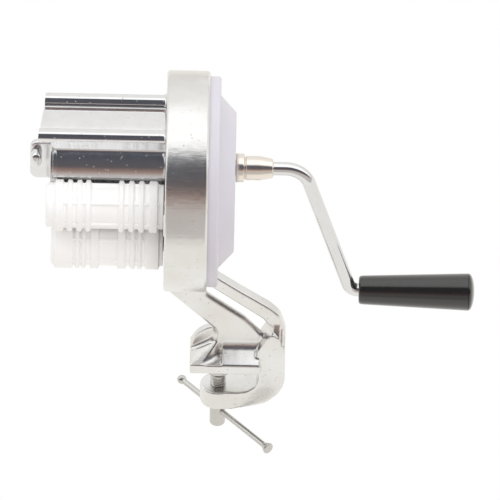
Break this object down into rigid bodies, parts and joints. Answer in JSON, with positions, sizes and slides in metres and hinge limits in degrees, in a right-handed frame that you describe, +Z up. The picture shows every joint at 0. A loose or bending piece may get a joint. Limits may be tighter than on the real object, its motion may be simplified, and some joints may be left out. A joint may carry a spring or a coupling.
{
  "type": "clamp-on roller grater",
  "caption": "Hand-cranked kitchen roller machine with a cast clamp frame, a gear housing, a roller hood, ribbed rollers and a bent crank with a spinning grip.",
  "frame": {"origin": "on the clamp screw axis, on the underside of the upper jaw that rests on the table", "axes": "+X along the shafts towards the crank handle, +Y away from the operator, +Z up"},
  "size_m": [0.2305, 0.114, 0.2173],
  "materials": {
    "cast_aluminium": "cast, brushed and polished",
    "bright_aluminium": "cast and polished, lightly pitted",
    "lilac_plastic": "moulded, pale lilac, satin",
    "white_plastic": "moulded, white, satin",
    "black_plastic": "moulded, glossy black",
    "nickel": "nickel plated",
    "chrome": "chrome plated",
    "zinc_steel": "zinc plated",
    "gear_steel": "cut and oiled",
    "bronze": "sintered bronze"
  },
  "bodies": {
    "frame": {"clamp_frame": "cast_aluminium", "roller_hood": "bright_aluminium", "hood_pin": "bright_aluminium", "hood_screws": "zinc_steel", "gear_cover": "lilac_plastic", "cover_screws": "zinc_steel", "front_bush": "bronze", "rear_bush": "bronze", "upper_bush": "bronze", "lower_bush": "bronze"},
    "crank": {"crank_shaft": "zinc_steel", "crank_gear": "gear_steel", "crank_key": "zinc_steel", "gear_clip": "zinc_steel", "crank_collar": "nickel", "crank_hub": "nickel", "hub_pins": "zinc_steel", "crank_rod": "chrome", "grip_washer": "zinc_steel", "grip_screw": "zinc_steel"},
    "grip": {"grip": "black_plastic", "grip_cap": "black_plastic"},
    "upper_roller": {"upper_roller": "white_plastic", "upper_shaft": "zinc_steel", "upper_pinion": "gear_steel", "upper_key": "zinc_steel", "upper_clip": "zinc_steel", "upper_screw": "zinc_steel"},
    "lower_roller": {"lower_roller": "white_plastic", "lower_shaft": "zinc_steel", "lower_pinion": "gear_steel", "drive_pinion": "gear_steel", "lower_key": "zinc_steel", "lower_clip": "zinc_steel", "lower_screw": "zinc_steel"},
    "pad": {"pressure_pad": "zinc_steel"},
    "screw": {"clamp_screw": "zinc_steel"},
    "bar": {"t_bar": "zinc_steel"}
  },
  "joints": [
    {"name": "crank_turn", "type": "hinge", "parent": "frame", "child": "crank", "pos_m": [-0.0179, 0, 0.1273], "axis": [1, 0, 0], "continuous": true},
    {"name": "lower_turn", "type": "hinge", "parent": "frame", "child": "lower_roller", "pos_m": [-0.0179, -0.0196, 0.09186], "axis": [1, 0, 0], "continuous": true},
    {"name": "upper_turn", "type": "hinge", "parent": "frame", "child": "upper_roller", "pos_m": [-0.0179, -0.0228, 0.11867], "axis": [1, 0, 0], "continuous": true},
    {"name": "grip_spin", "type": "hinge", "parent": "crank", "child": "grip", "pos_m": [0.0921, 0, 0.0481], "axis": [1, 0, 0], "continuous": true},
    {"name": "clamp_travel", "type": "slide", "parent": "frame", "child": "pad", "axis": [0, 0, 1], "range_m": [-0.007, 0.0025]},
    {"name": "screw_turn", "type": "hinge", "parent": "pad", "child": "screw", "pos_m": [0, 0, -0.01], "axis": [0, 0, 1], "range_deg": [-2020, 725]},
    {"name": "bar_slide", "type": "slide", "parent": "screw", "child": "bar", "axis": [0.6388, -0.7694, 0], "range_m": [-0.034, 0.0225]}
  ],
  "couplings": [
    {"joint": "lower_turn", "follows": "crank_turn", "ratio": -2.8571},
    {"joint": "upper_turn", "follows": "crank_turn", "ratio": 2.8571},
    {"joint": "screw_turn", "follows": "clamp_travel", "rad_per_m": 5026.5}
  ]
}
